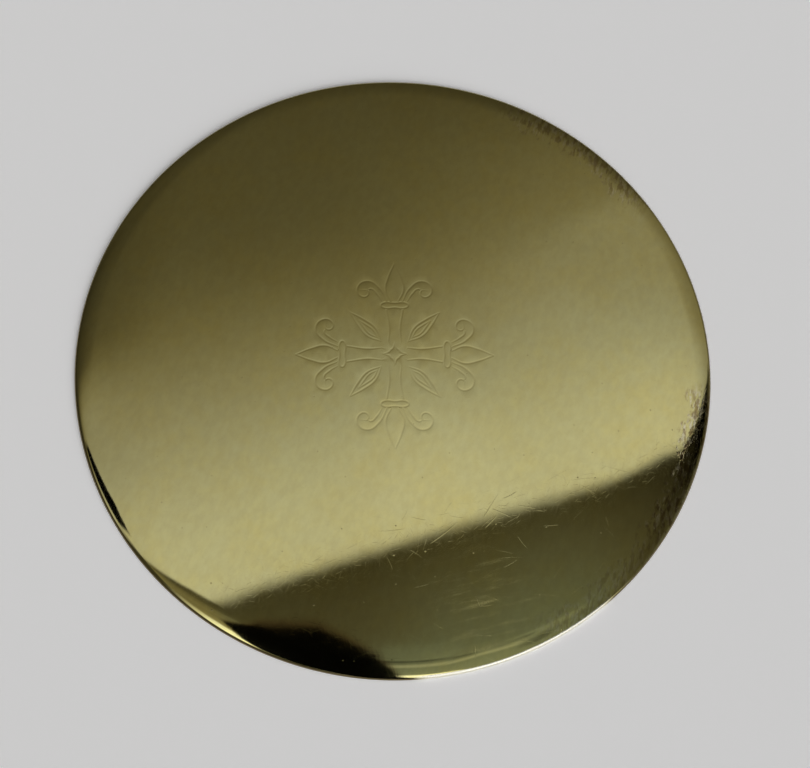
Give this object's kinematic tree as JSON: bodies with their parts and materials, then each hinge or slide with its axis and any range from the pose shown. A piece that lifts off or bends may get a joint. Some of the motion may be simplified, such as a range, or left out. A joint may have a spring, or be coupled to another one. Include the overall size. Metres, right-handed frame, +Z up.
{
  "type": "paten",
  "caption": "Shallow round dished plate of gilt sheet metal for altar bread, lying rim down with its convex back up.",
  "frame": {"origin": "centre of the rim, in the plane of the flat on which the rim rests", "axes": "+Z up through the middle of the convex back, +Y towards the top of the engraved ornament, +X to its right"},
  "size_m": [0.15, 0.15, 0.0103],
  "materials": {
    "gilt": "polished pale gilding with fine wear scratches"
  },
  "bodies": {
    "root": {"dish": "gilt"}
  },
  "joints": []
}
